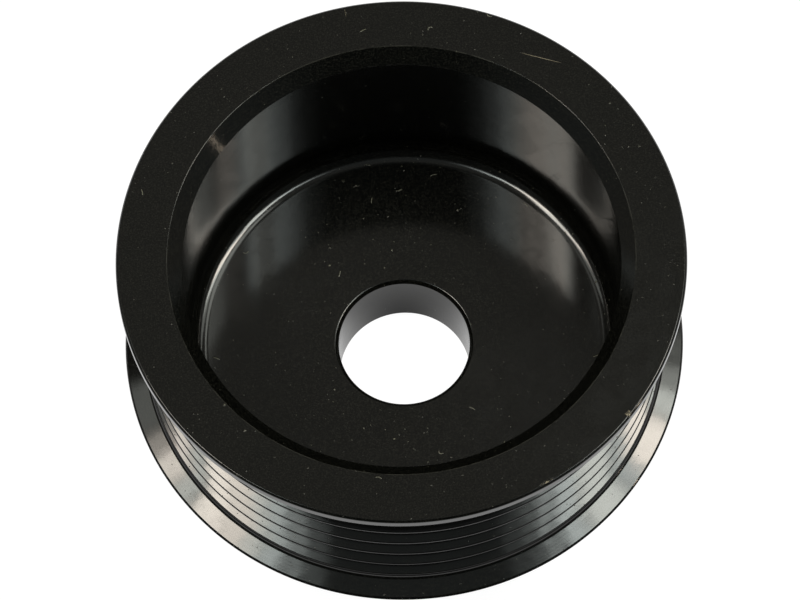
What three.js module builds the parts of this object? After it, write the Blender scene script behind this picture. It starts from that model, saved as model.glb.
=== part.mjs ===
// A solid six-groove pulley for a ribbed (poly-V) belt, with a deep nut recess in its front.
//
// It is one piece of steel, turned all over, so the whole body is one closed outline spun
// about the shaft axis. Millimetres, +Z up. The origin is the centre of the hub's back face,
// and the rim face at the recess's mouth is the top. Places along the axis are given as
// depths below that rim face.

import * as THREE from 'three';

// Overall
const HEIGHT = 37.3;
const SEGMENTS = 64;

// Belt track: PK ribs are 3.56 mm apart and 40 degrees between flanks
const GROOVE_COUNT = 6;
const GROOVE_PITCH = 3.56;
const FLANK_ANGLE = THREE.MathUtils.degToRad(20);
const FIRST_CREST_DEPTH = 3.28;
const CREST_RADIUS = 33.4;
const CREST_ROUND = 0.2;
const ROOT_ROUND = 0.5;

// Flanges on either side of the belt track
const FLANGE_RADIUS = 36.15;
const FRONT_FLANGE_WIDTH = 1.3;
const REAR_FLANGE_TOP = 26.05;
const REAR_FLANGE_EDGE = 0.25;
const REAR_FLANGE_BACK = 26.7;
const RIM_CHAMFER = 0.25;
const FLANGE_ROUND = 0.15;
const FLANGE_FOOT_ROUND = 0.6;

// Nut recess in the front
const MOUTH_RADIUS = 29.67;
const RECESS_RADIUS = 27.85;
const RECESS_DEPTH = 27.05;
const RECESS_FLOOR_ROUND = 2.45;

// Shaft bore
const BORE_RADIUS = 8.5;
const BORE_CHAMFER = 0.42;

// Back of the web and the hub boss
const SHOULDER_RADIUS = 31.4;
const SHOULDER_ROUND = 1.0;
const WEB_BACK_DEPTH = 31;
const BOSS_RADIUS = 14.5;
const BOSS_FOOT_ROUND = 1.2;
const BOSS_CHAMFER = 0.5;

// One corner of the outline. A round of one step is a plain chamfer.
function corner(radius, depth, round = 0, steps = 1) {
  return { point: new THREE.Vector2(radius, HEIGHT - depth), round, steps };
}

// The arc that replaces a corner, tangent to the straight stretches on both sides of it
function roundedCorner(before, at, after) {
  const { point, round, steps } = at;
  if (round === 0) {
    return [point];
  }
  const toBefore = before.point.clone().sub(point).normalize();
  const toAfter = after.point.clone().sub(point).normalize();
  const halfAngle = Math.acos(toBefore.dot(toAfter)) / 2;
  const bisector = toBefore.clone().add(toAfter).normalize();
  const centre = bisector.clone().multiplyScalar(round / Math.sin(halfAngle)).add(point);
  const start = toBefore.multiplyScalar(round / Math.tan(halfAngle)).add(point).sub(centre);
  const turn = (Math.PI - 2 * halfAngle) * Math.sign(toAfter.cross(bisector));
  const origin = new THREE.Vector2();
  return Array.from({ length: steps + 1 }, (_, step) =>
    start.clone().rotateAround(origin, (turn * step) / steps).add(centre));
}

function roundedOutline(corners) {
  const points = corners.flatMap((at, index) =>
    roundedCorner(corners.at(index - 1), at, corners[(index + 1) % corners.length]));
  points.push(points[0].clone());
  return points;
}

// How far a flange's inner face, a cone, drops along the axis between two radii
function coneDrop(outerRadius, innerRadius) {
  return (outerRadius - innerRadius) * Math.tan(FLANK_ANGLE);
}

function frontFlange() {
  const footDepth = FRONT_FLANGE_WIDTH + coneDrop(FLANGE_RADIUS, CREST_RADIUS);
  return [
    corner(FLANGE_RADIUS - RIM_CHAMFER, 0),
    corner(FLANGE_RADIUS, RIM_CHAMFER),
    corner(FLANGE_RADIUS, FRONT_FLANGE_WIDTH, FLANGE_ROUND),
    corner(CREST_RADIUS, footDepth, FLANGE_FOOT_ROUND, 2),
  ];
}

// The flanks run between sharp tips and sharp roots, which the rounds then take off, and the
// track ends in a narrow land on either side
function beltTrack() {
  const tipRadius = CREST_RADIUS + CREST_ROUND * (1 / Math.sin(FLANK_ANGLE) - 1);
  const rootRadius = tipRadius - GROOVE_PITCH / 2 / Math.tan(FLANK_ANGLE);
  const landInset = (tipRadius - CREST_RADIUS) * Math.tan(FLANK_ANGLE);
  const corners = [corner(CREST_RADIUS, FIRST_CREST_DEPTH + landInset, CREST_ROUND)];
  for (let index = 0; index < GROOVE_COUNT; index += 1) {
    const crestDepth = FIRST_CREST_DEPTH + index * GROOVE_PITCH;
    if (index > 0) {
      corners.push(corner(tipRadius, crestDepth, CREST_ROUND, 2));
    }
    corners.push(corner(rootRadius, crestDepth + GROOVE_PITCH / 2, ROOT_ROUND, 2));
  }
  const lastCrestDepth = FIRST_CREST_DEPTH + GROOVE_COUNT * GROOVE_PITCH;
  corners.push(corner(CREST_RADIUS, lastCrestDepth - landInset, CREST_ROUND));
  return corners;
}

// The rear flange's edge is bevelled on both sides and comes to a ridge
function rearFlange() {
  const edgeRadius = FLANGE_RADIUS - REAR_FLANGE_EDGE;
  const footDepth = REAR_FLANGE_TOP - coneDrop(edgeRadius, CREST_RADIUS);
  return [
    corner(CREST_RADIUS, footDepth, FLANGE_FOOT_ROUND, 2),
    corner(edgeRadius, REAR_FLANGE_TOP),
    corner(FLANGE_RADIUS, REAR_FLANGE_TOP + REAR_FLANGE_EDGE),
    corner(edgeRadius, REAR_FLANGE_BACK),
  ];
}

// A 45 degree shoulder runs from the rear flange's back face down to the web's back face
function backAndBoss() {
  const shoulderDrop = WEB_BACK_DEPTH - REAR_FLANGE_BACK;
  return [
    corner(SHOULDER_RADIUS, REAR_FLANGE_BACK, SHOULDER_ROUND, 2),
    corner(SHOULDER_RADIUS - shoulderDrop, WEB_BACK_DEPTH, SHOULDER_ROUND),
    corner(BOSS_RADIUS, WEB_BACK_DEPTH, BOSS_FOOT_ROUND, 2),
    corner(BOSS_RADIUS, HEIGHT, BOSS_CHAMFER),
  ];
}

function shaftBore() {
  return [
    corner(BORE_RADIUS + BORE_CHAMFER, HEIGHT),
    corner(BORE_RADIUS, HEIGHT - BORE_CHAMFER),
    corner(BORE_RADIUS, RECESS_DEPTH + BORE_CHAMFER),
    corner(BORE_RADIUS + BORE_CHAMFER, RECESS_DEPTH),
  ];
}

function nutRecess() {
  return [
    corner(RECESS_RADIUS, RECESS_DEPTH, RECESS_FLOOR_ROUND, 3),
    corner(RECESS_RADIUS, MOUTH_RADIUS - RECESS_RADIUS),
    corner(MOUTH_RADIUS, 0),
  ];
}

function pulleyBody() {
  const outline = roundedOutline([
    ...frontFlange(),
    ...beltTrack(),
    ...rearFlange(),
    ...backAndBoss(),
    ...shaftBore(),
    ...nutRecess(),
  ]);
  const geometry = new THREE.LatheGeometry(outline.reverse(), SEGMENTS);
  const blackCoat = new THREE.MeshStandardMaterial({
    color: 0x1c1c1a,
    roughness: 0.3,
    metalness: 0.5,
  });
  const mesh = new THREE.Mesh(geometry, blackCoat);
  mesh.name = 'pulley_body';
  mesh.rotation.x = Math.PI / 2;
  return mesh;
}

const pulley = new THREE.Group();
pulley.add(pulleyBody());

export default pulley;
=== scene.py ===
import math

import bpy
from mathutils import Matrix, Vector


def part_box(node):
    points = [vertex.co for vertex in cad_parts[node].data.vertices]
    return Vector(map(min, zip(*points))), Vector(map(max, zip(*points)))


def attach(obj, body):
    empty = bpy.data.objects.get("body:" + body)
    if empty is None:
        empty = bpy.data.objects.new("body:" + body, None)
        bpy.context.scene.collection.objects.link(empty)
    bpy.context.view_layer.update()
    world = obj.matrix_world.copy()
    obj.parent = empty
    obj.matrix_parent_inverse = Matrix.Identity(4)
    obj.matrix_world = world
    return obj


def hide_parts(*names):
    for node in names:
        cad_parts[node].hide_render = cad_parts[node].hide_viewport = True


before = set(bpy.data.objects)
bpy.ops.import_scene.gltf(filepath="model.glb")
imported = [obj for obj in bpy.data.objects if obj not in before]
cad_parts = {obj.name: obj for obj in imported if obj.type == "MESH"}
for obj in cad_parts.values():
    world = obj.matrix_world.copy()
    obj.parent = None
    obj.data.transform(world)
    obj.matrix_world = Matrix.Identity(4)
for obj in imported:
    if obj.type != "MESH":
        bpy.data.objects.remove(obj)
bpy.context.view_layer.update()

NODE = "pulley_body"
LOW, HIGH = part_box(NODE)
MM = 0.001

# Lengths below are in millimetres, unless a name says otherwise.
# ---------------------------------------------------------------- driving sizes
HEIGHT = (HIGH.z - LOW.z) / MM
FLANGE_RADIUS = HIGH.x / MM
SEGMENTS = 360
ARC_STEP = math.radians(13)

GROOVE_COUNT = 6
GROOVE_PITCH = 3.56
FLANK_ANGLE = math.radians(20)
FIRST_CREST_DEPTH = 3.28
CREST_RADIUS = 33.4
CREST_ROUND = 0.2
ROOT_ROUND = 0.5

FRONT_FLANGE_WIDTH = 1.3
REAR_FLANGE_TOP = 26.05
REAR_FLANGE_EDGE = 0.25
REAR_FLANGE_BACK = 26.7
RIM_CHAMFER = 0.25
RIM_EDGE_ROUND = 0.18
FLANGE_ROUND = 0.15
FLANGE_FOOT_ROUND = 0.6

MOUTH_RADIUS = 29.67
RECESS_RADIUS = 27.85
RECESS_DEPTH = 27.05
RECESS_FLOOR_ROUND = 2.45
EDGE_ROUND = 0.08

BORE_RADIUS = 8.5
BORE_CHAMFER = 0.42
BORE_EDGE_ROUND = 0.28

SHOULDER_RADIUS = 31.4
SHOULDER_ROUND = 1.0
WEB_BACK_DEPTH = 31
BOSS_RADIUS = 14.5
BOSS_FOOT_ROUND = 1.2
BOSS_ROUND = 0.4

# ---------------------------------------------------------------- the coat's finish
COAT_DARK = (0.0008, 0.0009, 0.0007, 1)
COAT_LIGHT = (0.016, 0.016, 0.0132, 1)
GRAINS_PER_MM = 5.5
GRAIN_BAND = (0.43, 0.8)
COAT_IOR = 1.5

# the coat's own roughness, which varies in patches, and what each place adds to it
COAT_ROUGHNESS = (0.085, 0.11)
PATCHES_PER_MM = 0.35
PATCH_BAND = (0.3, 0.7)
RECESS_ROUGHNESS = 0.015
BORE_ROUGHNESS = 0.08
WORN_ROUGHNESS = 0.4

# turning rings: how strongly they stretch a highlight, and which way as a share of a turn
RING_STRETCH = 0.6
RING_DIRECTION = 0.25
RING_HEIGHT = 0.0009
RINGS_PER_MM = 4.5
COARSE_RINGS_PER_MM = 1.6
COARSE_RING_SHARE = 1.5
WAVE_HEIGHT = 0.007
WAVES_PER_MM = 0.5
PEEL_HEIGHT = 0.001
PEEL_PER_MM = 4.5

DUST_COLOUR = (0.10, 0.10, 0.07, 1)
DUST_HEIGHT = 0.02
# width of a cell that holds at most one, share of the cells that hold one, size
FINE_DUST = (0.6, 0.4, 0.08)
COARSE_DUST = (1.9, 0.3, 0.15)
LINT = (4.1, 0.14, 0.7)
DRIFTS_PER_MM = 0.16
DRIFT_BAND = (0.4, 0.62)
# how far up a face points: below the first value it holds little dust, above the second all of it
DUST_SLOPES = (0.3, 0.95)
# from the recess out to the rim face, dust gets fainter over this stretch of radius
DUST_FADES = (27.0, 29.0)
RIM_DUST_STRENGTH = 0.6
LINT_BENDS = (0.35, 2.2)
LINT_EDGE = (0.02, 0.07)

BARE_COLOUR = (0.30, 0.26, 0.18, 1)
# the lighter line at the mouth edge: partly wear, partly a painted highlight of the edge
EDGE_WEAR_AND_HIGHLIGHT_COLOUR = (0.024, 0.024, 0.020, 1)
EDGE_WEAR_AND_HIGHLIGHT_WIDTH = (0.03, 0.09)
CHIP_DEPTH = 0.03
# start and end as X and Y on the rim face, width
SCRATCHES = [
    ((16.1, 28.1), (21.4, 26.4), 0.07),
    ((-6.15, 35.2), (-5.95, 34.1), 0.05),
]
# angle round the rim, size, stretch along the edge from 0 for a round spot towards 1
CHIPS = [(320.9, 0.50, 0.2), (298.6, 0.25, 0.8)]
CHIP_INSET = 0.42
CHIP_RAGS_PER_MM = 4.0

# ---------------------------------------------------------------- camera and light
CAMERA_AZIMUTH = -90
CAMERA_ELEVATION = 66.25
CAMERA_ROLL = math.radians(-2.04)
CAMERA_DISTANCE = 947
# how far the camera stands off the line through the rim's centre, to its right and up
CAMERA_SHIFT = (-0.35, -5.37)
CAMERA_LENS = 337.1
SENSOR_WIDTH = 36
CLIP_NEAR = 50
CLIP_FAR = 100000

# The room's bands are stretches of a direction's X, Y or Z, which run from -1 to 1. Low down the
# room brightens towards its sides. The bright ceiling reaches further down at the back.
ROOM_LOW = 0.03
ROOM_SIDES = 0.15
ROOM_SIDE_BAND = (0.3, 0.95)
ROOM_HIGH = 0.245
ROOM_HIGH_BAND = (0.80, 0.92)
ROOM_LEAN = 0.15
ROOM_BACK_COLOUR = (1.0, 0.98, 0.88, 1)
ROOM_FRONT_COLOUR = (0.92, 1.0, 0.97, 1)
ROOM_TINT_BAND = (-0.3, 0.3)

FLOOR_WIDTH = 30000
FLOOR_BASE = (0.1, 0.1, 0.1, 1)
FLOOR_GLOW = 0.98
FLOOR_IN_SHADE = 0.28
SHADE_BACK = 9
SHADE_REACH = 11

LIGHT_DISTANCE = 1200
# degrees that a panel's side takes to fade
SOFT_EDGE = 3.0
WARM = (1.0, 0.92, 0.81)
PLAIN = (0.97, 1.0, 0.92)
COOL = (0.92, 1.0, 0.96)
GLOW = (1.0, 0.82, 0.62)
# The panels that the coat mirrors, from behind on the left round the camera's side to behind on
# the right, and one small glint: name, azimuth, its width, elevation, its height (all in degrees),
# brightness, colour
LIGHT_PANELS = [
    ("left_far", 134, 22, 66, 14, 0.65, PLAIN),
    ("left_dim", 160, 12, 52, 20, 1.8, PLAIN),
    ("left_high", 165.5, 6, 67, 7, 9, PLAIN),
    ("left_step", 168, 4, 57, 23, 7, WARM),
    ("left_warm_edge", 174, 8, 58, 24, 15.8, WARM),
    ("left_gap", 180.7, 5.4, 58.5, 15, 10.5, PLAIN),
    ("left_middle", 188.7, 10.6, 60.5, 12, 20, WARM),
    ("left_side", 197.7, 7.6, 62, 10, 15, WARM),
    ("left_fade", 204.2, 5.4, 63, 10, 11.5, PLAIN),
    ("left_outer", 210.7, 7.6, 66, 10, 8.5, COOL),
    ("left_end", 218.5, 8, 68, 8, 3.8, COOL),
    ("left_tail", 227, 9, 69, 9, 0.9, COOL),
    ("right_tail", 317, 8, 69, 9, 0.5, COOL),
    ("right_fade", 324, 6, 69, 9, 1.7, COOL),
    ("right_outer", 330.5, 7, 67, 9, 5.4, COOL),
    ("right_side", 338.5, 9, 64, 10, 9.6, COOL),
    ("right_middle", 349.5, 13, 59.5, 14, 13, PLAIN),
    ("right_gap", 359, 6, 57.5, 20, 8.3, COOL),
    ("right_warm", 8, 12, 54.5, 19, 20, WARM),
    ("right_edge", 17, 6, 52, 18, 12.5, PLAIN),
    ("right_step", 22.5, 5, 51, 17, 5, PLAIN),
    ("right_dim", 30, 10, 49, 16, 2.1, PLAIN),
    ("right_far", 46.5, 43, 68, 14, 3.4, PLAIN),
    ("glint", 343.2, 1.0, 13.5, 2.0, 42, GLOW),
]


# ---------------------------------------------------------------- the turned outline
def corner(radius, depth, round_=0.0):
    """One corner of the outline: distance from the axis, depth below the rim face, edge round."""
    return Vector((radius, HEIGHT - depth)), round_


def rounded_corner(before, at, after):
    """The arc that replaces a corner, tangent to the straight stretches on both sides of it."""
    point, round_ = at
    if round_ == 0:
        return [point]
    to_before = (before[0] - point).normalized()
    to_after = (after[0] - point).normalized()
    half = math.acos(to_before.dot(to_after)) / 2
    bisector = (to_before + to_after).normalized()
    centre = point + bisector * round_ / math.sin(half)
    start = point + to_before * round_ / math.tan(half) - centre
    turn = math.copysign(math.pi - 2 * half, to_after.x * bisector.y - to_after.y * bisector.x)
    steps = max(2, math.ceil(abs(turn) / ARC_STEP))
    return [centre + Matrix.Rotation(turn * step / steps, 2) @ start for step in range(steps + 1)]


def cone_drop(outer, inner):
    """How far a flange's inner face drops along the axis between two radii."""
    return (outer - inner) * math.tan(FLANK_ANGLE)


def front_flange():
    foot_depth = FRONT_FLANGE_WIDTH + cone_drop(FLANGE_RADIUS, CREST_RADIUS)
    return [
        corner(FLANGE_RADIUS - RIM_CHAMFER, 0, RIM_EDGE_ROUND),
        corner(FLANGE_RADIUS, RIM_CHAMFER, RIM_EDGE_ROUND),
        corner(FLANGE_RADIUS, FRONT_FLANGE_WIDTH, FLANGE_ROUND),
        corner(CREST_RADIUS, foot_depth, FLANGE_FOOT_ROUND),
    ]


def belt_track():
    """Flanks between sharp tips and sharp roots, which are then rounded; a land at either end."""
    tip_radius = CREST_RADIUS + CREST_ROUND * (1 / math.sin(FLANK_ANGLE) - 1)
    root_radius = tip_radius - GROOVE_PITCH / 2 / math.tan(FLANK_ANGLE)
    land_inset = (tip_radius - CREST_RADIUS) * math.tan(FLANK_ANGLE)
    corners = [corner(CREST_RADIUS, FIRST_CREST_DEPTH + land_inset, CREST_ROUND)]
    for index in range(GROOVE_COUNT):
        depth = FIRST_CREST_DEPTH + index * GROOVE_PITCH
        if index > 0:
            corners.append(corner(tip_radius, depth, CREST_ROUND))
        corners.append(corner(root_radius, depth + GROOVE_PITCH / 2, ROOT_ROUND))
    last_crest_depth = FIRST_CREST_DEPTH + GROOVE_COUNT * GROOVE_PITCH
    corners.append(corner(CREST_RADIUS, last_crest_depth - land_inset, CREST_ROUND))
    return corners


def rear_flange():
    edge_radius = FLANGE_RADIUS - REAR_FLANGE_EDGE
    foot_depth = REAR_FLANGE_TOP - cone_drop(edge_radius, CREST_RADIUS)
    return [
        corner(CREST_RADIUS, foot_depth, FLANGE_FOOT_ROUND),
        corner(edge_radius, REAR_FLANGE_TOP, EDGE_ROUND),
        corner(FLANGE_RADIUS, REAR_FLANGE_TOP + REAR_FLANGE_EDGE, EDGE_ROUND),
        corner(edge_radius, REAR_FLANGE_BACK, EDGE_ROUND),
    ]


def back_and_boss():
    drop = WEB_BACK_DEPTH - REAR_FLANGE_BACK
    return [
        corner(SHOULDER_RADIUS, REAR_FLANGE_BACK, SHOULDER_ROUND),
        corner(SHOULDER_RADIUS - drop, WEB_BACK_DEPTH, SHOULDER_ROUND),
        corner(BOSS_RADIUS, WEB_BACK_DEPTH, BOSS_FOOT_ROUND),
        corner(BOSS_RADIUS, HEIGHT, BOSS_ROUND),
    ]


def shaft_bore():
    return [
        corner(BORE_RADIUS + BORE_CHAMFER, HEIGHT, EDGE_ROUND),
        corner(BORE_RADIUS, HEIGHT - BORE_CHAMFER, EDGE_ROUND),
        corner(BORE_RADIUS, RECESS_DEPTH + BORE_CHAMFER, EDGE_ROUND),
        corner(BORE_RADIUS + BORE_CHAMFER, RECESS_DEPTH, BORE_EDGE_ROUND),
    ]


def nut_recess():
    return [
        corner(RECESS_RADIUS, RECESS_DEPTH, RECESS_FLOOR_ROUND),
        corner(RECESS_RADIUS, MOUTH_RADIUS - RECESS_RADIUS, EDGE_ROUND),
        corner(MOUTH_RADIUS, 0, EDGE_ROUND),
    ]


def outline():
    corners = front_flange() + belt_track() + rear_flange()
    corners += back_and_boss() + shaft_bore() + nut_recess()
    points = []
    for index, at in enumerate(corners):
        after = corners[(index + 1) % len(corners)]
        points += rounded_corner(corners[index - 1], at, after)
    return points


# ---------------------------------------------------------------- meshes
def revolve(name, points, segments):
    """A closed body of revolution about Z from an outline that closes on itself."""
    verts = []
    for step in range(segments):
        angle = 2 * math.pi * step / segments
        verts += [(p.x * MM * math.cos(angle), p.x * MM * math.sin(angle), p.y * MM) for p in points]
    count = len(points)
    faces = []
    for step in range(segments):
        here, there = step * count, (step + 1) % segments * count
        for i in range(count):
            j = (i + 1) % count
            faces.append((here + i, here + j, there + j, there + i))
    mesh = bpy.data.meshes.new(name)
    mesh.from_pydata(verts, [], faces)
    mesh.update()
    for polygon in mesh.polygons:
        polygon.use_smooth = True
    piece = bpy.data.objects.new(name, mesh)
    bpy.context.scene.collection.objects.link(piece)
    return piece


def make_pulley():
    piece = revolve("turned_pulley", outline()[::-1], SEGMENTS)
    piece.modifiers.new("true_normals", "WEIGHTED_NORMAL")
    piece.data.materials.append(black_coat())
    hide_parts(NODE)
    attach(piece, "root")


# ---------------------------------------------------------------- material nodes
class Nodes:
    """Short calls that add one node each to a material, light or world and hand back its output."""

    def __init__(self, owner, shader="Principled BSDF"):
        owner.use_nodes = True
        self.tree = owner.node_tree
        self.shader = self.tree.nodes[shader]

    def add(self, kind, **settings):
        node = self.tree.nodes.new(kind)
        for name, value in settings.items():
            setattr(node, name, value)
        return node

    def feed(self, socket, value):
        if isinstance(value, bpy.types.NodeSocket):
            self.tree.links.new(value, socket)
        else:
            socket.default_value = value

    def math(self, operation, *values, clamp=False):
        node = self.add("ShaderNodeMath", operation=operation, use_clamp=clamp)
        for socket, value in zip(node.inputs, values):
            self.feed(socket, value)
        return node.outputs["Value"]

    def vector_math(self, operation, *values):
        node = self.add("ShaderNodeVectorMath", operation=operation)
        for socket, value in zip(node.inputs, values):
            self.feed(socket, value)
        gives_number = operation in ("DOT_PRODUCT", "LENGTH", "DISTANCE")
        return node.outputs["Value" if gives_number else "Vector"]

    def scale(self, vector, factor):
        node = self.add("ShaderNodeVectorMath", operation="SCALE")
        self.feed(node.inputs["Vector"], vector)
        self.feed(node.inputs["Scale"], factor)
        return node.outputs["Vector"]

    def split(self, vector):
        node = self.add("ShaderNodeSeparateXYZ")
        self.feed(node.inputs["Vector"], vector)
        return node.outputs

    def combine(self, x=0.0, y=0.0, z=0.0):
        node = self.add("ShaderNodeCombineXYZ")
        for socket, value in zip(node.inputs, (x, y, z)):
            self.feed(socket, value)
        return node.outputs["Vector"]

    def ramp(self, value, low, high, to_low=0.0, to_high=1.0):
        """Smooth step of value from low to high."""
        node = self.add("ShaderNodeMapRange", interpolation_type="SMOOTHSTEP")
        node.inputs["From Min"].default_value = low
        node.inputs["From Max"].default_value = high
        node.inputs["To Min"].default_value = to_low
        node.inputs["To Max"].default_value = to_high
        self.feed(node.inputs["Value"], value)
        return node.outputs["Result"]

    def noise(self, vector, per_mm, detail=2.0, roughness=0.5):
        """Smooth noise with about the given number of features to the millimetre."""
        node = self.add("ShaderNodeTexNoise")
        self.feed(node.inputs["Vector"], vector)
        node.inputs["Scale"].default_value = per_mm
        node.inputs["Detail"].default_value = detail
        node.inputs["Roughness"].default_value = roughness
        return node.outputs["Fac"]

    def cells(self, vector, size, dimensions):
        """Voronoi cells: distance to the cell's own point, three random numbers, and that point."""
        node = self.add("ShaderNodeTexVoronoi", voronoi_dimensions=dimensions)
        self.feed(node.inputs["Vector"], vector)
        node.inputs["Scale"].default_value = 1 / size
        split = self.add("ShaderNodeSeparateColor")
        self.feed(split.inputs["Color"], node.outputs["Color"])
        distance = self.math("MULTIPLY", node.outputs["Distance"], size)
        return distance, split.outputs, node.outputs["Position"]

    def mix_colour(self, factor, first, second):
        node = self.add("ShaderNodeMix", data_type="RGBA")
        self.feed(node.inputs["Factor"], factor)
        self.feed(node.inputs["A"], first)
        self.feed(node.inputs["B"], second)
        return node.outputs["Result"]


class Surface:
    """Where a shaded point is on the body, in millimetres: place, radius and depth below the rim."""

    def __init__(self, nodes):
        self.place = nodes.scale(nodes.add("ShaderNodeTexCoord").outputs["Object"], 1 / MM)
        self.x, self.y, self.z = nodes.split(self.place)
        flat = nodes.combine(self.x, self.y)
        self.radius = nodes.vector_math("LENGTH", flat)
        self.depth = nodes.math("SUBTRACT", HEIGHT, self.z)
        facing = nodes.split(nodes.add("ShaderNodeNewGeometry").outputs["True Normal"])
        self.up = nodes.math("MAXIMUM", facing["Z"], 0.0)


def turning_marks(nodes, surface):
    """Fine rings left by the tool: noise that varies across the surface but not around the axis."""
    across = nodes.combine(surface.radius, 0.0, surface.z)
    fine = nodes.noise(across, RINGS_PER_MM, detail=1.0)
    coarse = nodes.noise(across, COARSE_RINGS_PER_MM, detail=1.0)
    return nodes.math("ADD", fine, nodes.math("MULTIPLY", coarse, COARSE_RING_SHARE))


def dust_specks(nodes, surface, cell, share, size):
    """Grains of dust: small balls scattered in space that the surface cuts, fewer on steep faces."""
    distance, random_parts, _ = nodes.cells(surface.place, cell, "3D")
    ragged = nodes.math("MULTIPLY", nodes.noise(surface.place, 9.0), size)
    lying = nodes.ramp(surface.up, *DUST_SLOPES, to_low=0.15)
    drifts = nodes.noise(surface.place, DRIFTS_PER_MM)
    drifts = nodes.ramp(drifts, *DRIFT_BAND, to_low=0.25, to_high=1.6)
    share = nodes.math("MULTIPLY", nodes.math("MULTIPLY", lying, drifts), share)
    chosen = nodes.math("LESS_THAN", random_parts[0], share)
    spot = nodes.ramp(nodes.math("SUBTRACT", nodes.math("MULTIPLY", ragged, 2.0), distance), 0.0, 0.05)
    strength = nodes.ramp(random_parts[1], 0.0, 1.0, to_low=0.15)
    fading = nodes.ramp(surface.radius, *DUST_FADES, to_low=1.0, to_high=RIM_DUST_STRENGTH)
    strength = nodes.math("MULTIPLY", strength, fading)
    return nodes.math("MULTIPLY", nodes.math("MULTIPLY", spot, chosen), strength)


def lint(nodes, surface, cell, share, length):
    """Short curved fibres: one arc of a circle through the middle of each chosen flat cell."""
    distance, random_parts, middle = nodes.cells(surface.place, cell, "2D")
    from_middle = nodes.vector_math("SUBTRACT", nodes.combine(surface.x, surface.y), middle)
    angle = nodes.math("MULTIPLY", random_parts[1], 2 * math.pi)
    bend = nodes.ramp(random_parts[2], 0.0, 1.0, *LINT_BENDS)
    centre = nodes.combine(
        nodes.math("MULTIPLY", nodes.math("COSINE", angle), bend),
        nodes.math("MULTIPLY", nodes.math("SINE", angle), bend),
    )
    to_centre = nodes.vector_math("DISTANCE", from_middle, centre)
    off_line = nodes.math("ABSOLUTE", nodes.math("SUBTRACT", to_centre, bend))
    thread = nodes.ramp(off_line, *LINT_EDGE, to_low=1.0, to_high=0.0)
    inside = nodes.ramp(distance, length / 2, length / 2 + 0.1, to_low=1.0, to_high=0.0)
    chosen = nodes.math("LESS_THAN", random_parts[0], share)
    lying = nodes.math("GREATER_THAN", surface.up, 0.97)
    shown = nodes.math("MULTIPLY", chosen, lying)
    return nodes.math("MULTIPLY", nodes.math("MULTIPLY", thread, inside), shown)


def scratch(nodes, surface, start, end, width):
    """A straight scratch across the rim face between two points."""
    run = Vector(end) - Vector(start)
    from_start = nodes.vector_math("SUBTRACT", nodes.combine(surface.x, surface.y), (*start, 0.0))
    along = nodes.vector_math("DOT_PRODUCT", from_start, (*(run / run.length_squared), 0.0))
    along = nodes.math("MULTIPLY", along, 1.0, clamp=True)
    nearest = nodes.scale((*run, 0.0), along)
    distance = nodes.vector_math("DISTANCE", from_start, nearest)
    taper = nodes.math("MULTIPLY", nodes.math("SUBTRACT", 1.0, along), along)
    edge = nodes.math("MULTIPLY", nodes.math("POWER", taper, 0.3), width)
    mark = nodes.math("SUBTRACT", edge, distance)
    on_rim = nodes.math("LESS_THAN", surface.depth, RIM_CHAMFER)
    return nodes.math("MULTIPLY", nodes.ramp(mark, 0.0, 0.04), on_rim)


def chip(nodes, surface, angle, size, stretch):
    """A ragged spot or sliver on the outer rim edge where the coat has come off down to bare steel."""
    edge_radius = FLANGE_RADIUS - CHIP_INSET
    turn = math.radians(angle)
    outward = Vector((math.cos(turn), math.sin(turn), 0.0))
    along_edge = Vector((-math.sin(turn), math.cos(turn), 0.0))
    centre = outward * edge_radius + Vector((0.0, 0.0, HEIGHT))
    offset = nodes.vector_math("SUBTRACT", surface.place, tuple(centre))
    along = nodes.vector_math("DOT_PRODUCT", offset, tuple(along_edge * stretch))
    distance = nodes.vector_math("DISTANCE", offset, nodes.scale(tuple(along_edge), along))
    ragged = nodes.noise(surface.place, CHIP_RAGS_PER_MM, detail=4.0, roughness=0.8)
    ragged = nodes.math("MULTIPLY", nodes.ramp(ragged, 0.35, 0.65), size)
    return nodes.ramp(nodes.math("SUBTRACT", ragged, distance), 0.0, 0.15)


def worn_and_highlit_edge(nodes, surface, radius):
    """A hair-thin lighter line along an edge of the rim face, with gaps in it: partly wear, partly a
    painted highlight.
    """
    off_edge = nodes.math("ABSOLUTE", nodes.math("SUBTRACT", surface.radius, radius))
    line = nodes.ramp(off_edge, *EDGE_WEAR_AND_HIGHLIGHT_WIDTH, to_low=1.0, to_high=0.0)
    gaps = nodes.ramp(nodes.noise(surface.place, 0.6, detail=3.0), 0.38, 0.6, to_low=0.2)
    at_top = nodes.math("LESS_THAN", surface.depth, 2 * EDGE_ROUND)
    return nodes.math("MULTIPLY", nodes.math("MULTIPLY", line, gaps), at_top)


def strongest(nodes, masks):
    result = masks[0]
    for mask in masks[1:]:
        result = nodes.math("MAXIMUM", result, mask)
    return result


# ---------------------------------------------------------------- materials
def coat_colour(nodes, surface, specks, bare):
    grain = nodes.noise(surface.place, GRAINS_PER_MM, roughness=0.7)
    coat = nodes.mix_colour(nodes.ramp(grain, *GRAIN_BAND), COAT_DARK, COAT_LIGHT)
    # lighter line at the mouth edge, partly wear and partly a painted highlight
    coat = nodes.mix_colour(worn_and_highlit_edge(nodes, surface, MOUTH_RADIUS), coat, EDGE_WEAR_AND_HIGHLIGHT_COLOUR)
    coat = nodes.mix_colour(specks, coat, DUST_COLOUR)
    return nodes.mix_colour(bare, coat, BARE_COLOUR)


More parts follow.
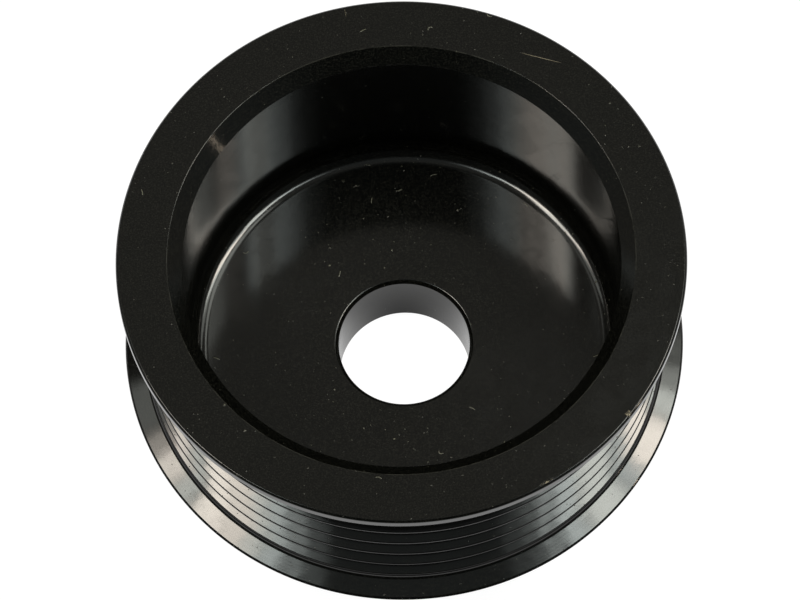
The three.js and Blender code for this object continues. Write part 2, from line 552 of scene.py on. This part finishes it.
def coat_roughness(nodes, surface, specks, bare):
    """The coat is a little rougher in the recess, rougher again in the bore, and dull where worn."""
    patches = nodes.noise(surface.place, PATCHES_PER_MM)
    roughness = nodes.ramp(patches, *PATCH_BAND, *COAT_ROUGHNESS)
    in_recess = nodes.math("LESS_THAN", surface.radius, RECESS_RADIUS + EDGE_ROUND)
    in_bore = nodes.math("LESS_THAN", surface.radius, BORE_RADIUS + EDGE_ROUND)
    worn = nodes.math("MAXIMUM", specks, bare)
    extras = ((in_recess, RECESS_ROUGHNESS), (in_bore, BORE_ROUGHNESS), (worn, WORN_ROUGHNESS))
    for place, extra in extras:
        roughness = nodes.math("ADD", roughness, nodes.math("MULTIPLY", place, extra))
    return roughness


def coat_relief(nodes, surface, specks, bare):
    """Rings from the tool, a slow wave, orange peel, raised dust and sunken chips."""
    wave = nodes.noise(surface.place, WAVES_PER_MM, detail=1.0)
    peel = nodes.noise(surface.place, PEEL_PER_MM)
    height = nodes.math("MULTIPLY", turning_marks(nodes, surface), RING_HEIGHT)
    layers = ((wave, WAVE_HEIGHT), (peel, PEEL_HEIGHT), (specks, DUST_HEIGHT), (bare, -CHIP_DEPTH))
    for layer, scale in layers:
        height = nodes.math("ADD", height, nodes.math("MULTIPLY", layer, scale))
    bump = nodes.add("ShaderNodeBump")
    bump.inputs["Distance"].default_value = MM
    nodes.feed(bump.inputs["Height"], height)
    return bump.outputs["Normal"]


def black_coat():
    material = bpy.data.materials.new("black_coat")
    nodes = Nodes(material)
    surface = Surface(nodes)
    specks = strongest(nodes, [
        dust_specks(nodes, surface, *FINE_DUST),
        dust_specks(nodes, surface, *COARSE_DUST),
        lint(nodes, surface, *LINT),
    ])
    marks = [scratch(nodes, surface, *ends, width) for *ends, width in SCRATCHES]
    bare = strongest(nodes, marks + [chip(nodes, surface, *spot) for spot in CHIPS])

    inputs = nodes.shader.inputs
    nodes.feed(inputs["Base Color"], coat_colour(nodes, surface, specks, bare))
    nodes.feed(inputs["Roughness"], coat_roughness(nodes, surface, specks, bare))
    nodes.feed(inputs["Normal"], coat_relief(nodes, surface, specks, bare))
    around = nodes.add("ShaderNodeTangent", direction_type="RADIAL", axis="Z")
    nodes.feed(inputs["Tangent"], around.outputs["Tangent"])
    inputs["Anisotropic"].default_value = RING_STRETCH
    inputs["Anisotropic Rotation"].default_value = RING_DIRECTION
    inputs["IOR"].default_value = COAT_IOR
    return material


def plain_floor_material():
    """The camera sees the floor bleached white; the bore's wall mirrors the shade at its back."""
    material = bpy.data.materials.new("floor")
    nodes = Nodes(material)
    nodes.shader.inputs["Base Color"].default_value = FLOOR_BASE
    nodes.shader.inputs["Roughness"].default_value = 1.0
    nodes.shader.inputs["Specular IOR Level"].default_value = 0.0
    nodes.shader.inputs["Emission Color"].default_value = (1, 1, 1, 1)
    place = nodes.add("ShaderNodeTexCoord").outputs["Object"]
    from_back = nodes.vector_math("DISTANCE", place, (0.0, SHADE_BACK * MM, 0.0))
    shade = nodes.ramp(from_back, 0.0, SHADE_REACH * MM, FLOOR_IN_SHADE, FLOOR_GLOW)
    to_camera = nodes.add("ShaderNodeLightPath").outputs["Is Camera Ray"]
    seen = nodes.math("MULTIPLY", to_camera, FLOOR_GLOW)
    nodes.feed(nodes.shader.inputs["Emission Strength"], nodes.math("MAXIMUM", seen, shade))
    return material


# ---------------------------------------------------------------- stage
def make_floor():
    half = FLOOR_WIDTH / 2 * MM
    mesh = bpy.data.meshes.new("floor")
    corners = [(-half, -half, 0), (half, -half, 0), (half, half, 0), (-half, half, 0)]
    mesh.from_pydata(corners, [], [(0, 1, 2, 3)])
    mesh.materials.append(plain_floor_material())
    floor = bpy.data.objects.new("floor", mesh)
    floor.location.z = LOW.z
    bpy.context.scene.collection.objects.link(floor)


def direction(azimuth, elevation):
    a, e = math.radians(azimuth), math.radians(elevation)
    return Vector((math.cos(e) * math.cos(a), math.cos(e) * math.sin(a), math.sin(e)))


def fade_sides(light, share):
    """Let a panel's brightness fade out towards its two upright edges, as a diffuser's does."""
    nodes = Nodes(light, "Emission")
    across = nodes.split(nodes.add("ShaderNodeNewGeometry").outputs["Parametric"])["X"]
    from_middle = nodes.math("ABSOLUTE", nodes.math("SUBTRACT", across, 0.5))
    fade = nodes.ramp(from_middle, 0.5 - share, 0.5, to_low=1.0, to_high=0.0)
    nodes.feed(nodes.shader.inputs["Strength"], fade)


def softbox(name, azimuth, width, elevation, height, radiance, colour):
    """A panel of light facing the object, which fills the given stretch of azimuth and elevation.

    Its sides fade across the ends of its azimuth. A panel narrower than SOFT_EDGE fades sooner.
    """
    data = bpy.data.lights.new(name, "AREA")
    data.shape = "RECTANGLE"
    distance = LIGHT_DISTANCE * MM
    row_radius = distance * math.cos(math.radians(elevation))
    soft_edge = min(SOFT_EDGE, width)
    data.size = 2 * row_radius * math.tan(math.radians(width + soft_edge) / 2)
    data.size_y = 2 * distance * math.tan(math.radians(height) / 2)
    data.color = colour
    data.energy = radiance * data.size * data.size_y * math.pi
    fade_sides(data, math.radians(soft_edge) * row_radius / data.size)
    light = bpy.data.objects.new(name, data)
    towards = direction(azimuth, elevation)
    light.location = Vector((0, 0, HIGH.z)) + towards * distance
    light.rotation_mode = "QUATERNION"
    light.rotation_quaternion = towards.to_track_quat("Z", "Y")
    light.visible_camera = False
    bpy.context.scene.collection.objects.link(light)


def make_lights():
    for name, *panel in LIGHT_PANELS:
        softbox(name, *panel)


def make_world():
    """A dim room: pale overhead, and darker low down, most of all in front and behind."""
    world = bpy.data.worlds.new("studio")
    nodes = Nodes(world, "Background")
    x, y, z = nodes.split(nodes.add("ShaderNodeTexCoord").outputs["Generated"])
    low_light = nodes.ramp(nodes.math("ABSOLUTE", x), *ROOM_SIDE_BAND, ROOM_LOW, ROOM_SIDES)
    lean = nodes.math("MULTIPLY", y, ROOM_LEAN)
    overhead = nodes.ramp(nodes.math("ADD", z, lean), *ROOM_HIGH_BAND)
    strength = nodes.add("ShaderNodeMix")
    nodes.feed(strength.inputs["Factor"], overhead)
    nodes.feed(strength.inputs["A"], low_light)
    nodes.feed(strength.inputs["B"], ROOM_HIGH)
    nodes.feed(nodes.shader.inputs["Strength"], strength.outputs["Result"])
    behind = nodes.ramp(y, *ROOM_TINT_BAND)
    tint = nodes.mix_colour(behind, ROOM_FRONT_COLOUR, ROOM_BACK_COLOUR)
    nodes.feed(nodes.shader.inputs["Color"], tint)
    bpy.context.scene.world = world


def make_camera():
    data = bpy.data.cameras.new("camera")
    data.sensor_width = SENSOR_WIDTH
    data.lens = CAMERA_LENS
    data.clip_start = CLIP_NEAR * MM
    data.clip_end = CLIP_FAR * MM
    camera = bpy.data.objects.new("camera", data)
    back = direction(CAMERA_AZIMUTH, CAMERA_ELEVATION)
    right = Vector((0, 0, 1)).cross(back).normalized()
    up = back.cross(right)
    rolled_right = right * math.cos(CAMERA_ROLL) + up * math.sin(CAMERA_ROLL)
    rolled_up = up * math.cos(CAMERA_ROLL) - right * math.sin(CAMERA_ROLL)
    offset = back * CAMERA_DISTANCE + right * CAMERA_SHIFT[0] + up * CAMERA_SHIFT[1]
    camera.location = Vector((0, 0, HIGH.z)) + offset * MM
    turn = Matrix((rolled_right, rolled_up, back)).transposed()
    camera.rotation_mode = "QUATERNION"
    camera.rotation_quaternion = turn.to_quaternion()
    bpy.context.scene.collection.objects.link(camera)
    bpy.context.scene.camera = camera


bpy.context.scene.view_settings.view_transform = "Standard"
make_camera()
make_world()
make_lights()
make_floor()
make_pulley()
